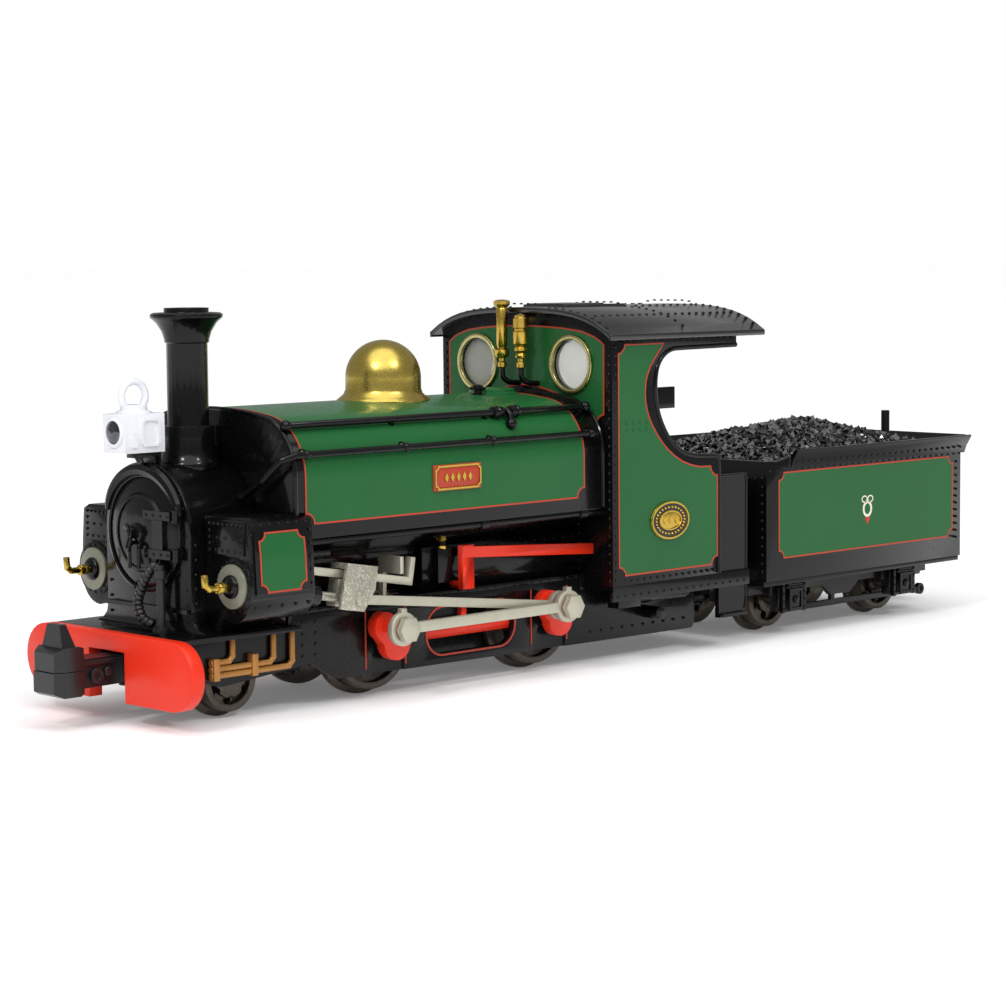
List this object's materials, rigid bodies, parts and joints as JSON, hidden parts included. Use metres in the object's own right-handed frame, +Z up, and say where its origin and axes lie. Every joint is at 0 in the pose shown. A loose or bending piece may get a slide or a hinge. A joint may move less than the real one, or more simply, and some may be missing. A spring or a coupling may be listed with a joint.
{
  "type": "model railway steam engine with tender",
  "caption": "Small-scale outside-framed saddle-tank steam engine with working rods, a leading truck and a hinged coal tender, electrically driven.",
  "frame": {"origin": "centre of the overall length and width, at the bottom of the wheel flanges", "axes": "+X rearwards along the track (the engine faces -X), +Y to the engine's right side, +Z up"},
  "size_m": [0.1146, 0.0248, 0.0339],
  "materials": {
    "green_enamel": "gloss",
    "black_satin": "satin",
    "black_metal": "satin",
    "red_enamel": "satin",
    "die_cast": "satin",
    "motion_metal": "satin",
    "tyre_metal": "satin",
    "brass": "polished",
    "pipe_tan": "satin",
    "glazing": "clear",
    "lamp_white": "gloss",
    "lens_chrome": "polished",
    "coal_black": "rough",
    "motor_can": "satin",
    "board_green": "gloss",
    "gear_plastic": "matte"
  },
  "bodies": {
    "engine": {"buffer_beam": "red_enamel", "running_plate": "black_satin", "outside_frames": "black_metal", "chassis_block": "die_cast", "keeper_plate": "black_satin", "smokebox": "black_satin", "smokebox_door": "black_satin", "chimney": "black_satin", "saddle_tank": "green_enamel", "dome": "brass", "whistles": "brass", "boiler": "black_satin", "cab_body": "green_enamel", "cab_roof": "black_satin", "window_rings": "brass", "window_glass": "glazing", "backhead": "black_satin", "cylinder_left": "black_satin", "cylinder_right": "black_satin", "cylinder_covers": "motion_metal", "cover_cocks": "brass", "slidebars": "motion_metal", "drain_pipes": "pipe_tan", "reversing_link": "red_enamel", "lubricators": "black_satin", "handrails": "black_metal", "nameplates": "red_enamel", "works_plates": "brass", "headlamp": "lamp_white", "lamp_lens": "lens_chrome", "front_hose": "black_satin", "cab_steps": "black_satin", "brake_rigging": "red_enamel", "motor": "motor_can", "circuit_board": "board_green", "pickups": "brass", "screws": "black_metal"},
    "rear_axle": {"rear_wheelset": "tyre_metal", "rear_cranks": "red_enamel", "axle_gear": "gear_plastic"},
    "front_axle": {"front_wheelset": "tyre_metal", "front_cranks": "red_enamel"},
    "coupling_rod_left": {"coupling_rod_left": "motion_metal"},
    "coupling_rod_right": {"coupling_rod_right": "motion_metal"},
    "connecting_rod_left": {"connecting_rod_left": "motion_metal"},
    "connecting_rod_right": {"connecting_rod_right": "motion_metal"},
    "crosshead_left": {"crosshead_left": "motion_metal"},
    "crosshead_right": {"crosshead_right": "motion_metal"},
    "worm": {"worm_shaft": "brass", "motor_rotor": "motor_can"},
    "idler": {"idler_gear": "gear_plastic"},
    "pony_truck": {"pony_truck": "black_satin"},
    "pony_axle": {"pony_wheelset": "tyre_metal"},
    "front_coupling": {"front_coupling": "black_satin"},
    "drawbar": {"drawbar": "black_metal"},
    "tender": {"tender_body": "green_enamel", "tender_coal": "coal_black", "tender_chassis": "black_satin"},
    "tender_front_axle": {"tender_wheelset_front": "tyre_metal"},
    "tender_rear_axle": {"tender_wheelset_rear": "tyre_metal"},
    "rear_coupling": {"rear_coupling": "black_satin"}
  },
  "joints": [
    {"name": "rear_axle_spin", "type": "hinge", "parent": "engine", "child": "rear_axle", "pos_m": [-0.0072, 0, 0.0049], "axis": [0, 1, 0], "continuous": true},
    {"name": "front_axle_spin", "type": "hinge", "parent": "engine", "child": "front_axle", "pos_m": [-0.0272, 0, 0.0049], "axis": [0, 1, 0], "continuous": true},
    {"name": "coupling_rod_left_pin", "type": "hinge", "parent": "rear_axle", "child": "coupling_rod_left", "pos_m": [-0.00849, -0.01125, 0.00643], "axis": [0, 1, 0], "continuous": true},
    {"name": "coupling_rod_right_pin", "type": "hinge", "parent": "rear_axle", "child": "coupling_rod_right", "pos_m": [-0.00873, 0.01125, 0.00361], "axis": [0, 1, 0], "continuous": true},
    {"name": "connecting_rod_left_pin", "type": "hinge", "parent": "rear_axle", "child": "connecting_rod_left", "pos_m": [-0.00849, -0.0102, 0.00643], "axis": [0, 1, 0], "continuous": true},
    {"name": "connecting_rod_right_pin", "type": "hinge", "parent": "rear_axle", "child": "connecting_rod_right", "pos_m": [-0.00873, 0.0102, 0.00361], "axis": [0, 1, 0], "continuous": true},
    {"name": "crosshead_left_slide", "type": "slide", "parent": "engine", "child": "crosshead_left", "axis": [0.9856, 0, -0.1691], "range_m": [-0.00051, 0.00349]},
    {"name": "crosshead_right_slide", "type": "slide", "parent": "engine", "child": "crosshead_right", "axis": [0.9856, 0, -0.1691], "range_m": [-0.00076, 0.00325]},
    {"name": "idler_spin", "type": "hinge", "parent": "engine", "child": "idler", "pos_m": [-0.0072, 0, 0.0093], "axis": [0, 1, 0], "continuous": true},
    {"name": "worm_spin", "type": "hinge", "parent": "engine", "child": "worm", "pos_m": [-0.0072, 0, 0.0126], "axis": [1, 0, 0], "continuous": true},
    {"name": "pony_swing", "type": "hinge", "parent": "engine", "child": "pony_truck", "pos_m": [-0.0322, 0, 0.00275], "axis": [0, 0, 1], "range_deg": [-4, 4]},
    {"name": "pony_axle_spin", "type": "hinge", "parent": "pony_truck", "child": "pony_axle", "pos_m": [-0.04285, 0, 0.0032], "axis": [0, 1, 0], "continuous": true},
    {"name": "front_coupling_swing", "type": "hinge", "parent": "engine", "child": "front_coupling", "pos_m": [-0.0488, 0, 0.0045], "axis": [0, 0, 1], "range_deg": [-12, 12]},
    {"name": "drawbar_engine_pin", "type": "hinge", "parent": "engine", "child": "drawbar", "pos_m": [0.0128, 0, 0.00355], "axis": [0, 0, 1], "range_deg": [-5, 5]},
    {"name": "drawbar_tender_pin", "type": "hinge", "parent": "drawbar", "child": "tender", "pos_m": [0.0214, 0, 0.00355], "axis": [0, 0, 1], "range_deg": [-5, 5]},
    {"name": "tender_front_axle_spin", "type": "hinge", "parent": "tender", "child": "tender_front_axle", "pos_m": [0.0259, 0, 0.0035], "axis": [0, 1, 0], "continuous": true},
    {"name": "tender_rear_axle_spin", "type": "hinge", "parent": "tender", "child": "tender_rear_axle", "pos_m": [0.0439, 0, 0.0035], "axis": [0, 1, 0], "continuous": true},
    {"name": "rear_coupling_swing", "type": "hinge", "parent": "tender", "child": "rear_coupling", "pos_m": [0.0488, 0, 0.0045], "axis": [0, 0, 1], "range_deg": [-12, 12]}
  ],
  "couplings": [
    {"joint": "front_axle_spin", "follows": "rear_axle_spin", "ratio": 1},
    {"joint": "coupling_rod_left_pin", "follows": "rear_axle_spin", "ratio": -1},
    {"joint": "coupling_rod_right_pin", "follows": "rear_axle_spin", "ratio": -1},
    {"joint": "connecting_rod_left_pin", "follows": "rear_axle_spin", "ratio": -1},
    {"joint": "connecting_rod_right_pin", "follows": "rear_axle_spin", "ratio": -1},
    {"joint": "idler_spin", "follows": "rear_axle_spin", "ratio": -1},
    {"joint": "worm_spin", "follows": "rear_axle_spin", "ratio": 20}
  ]
}
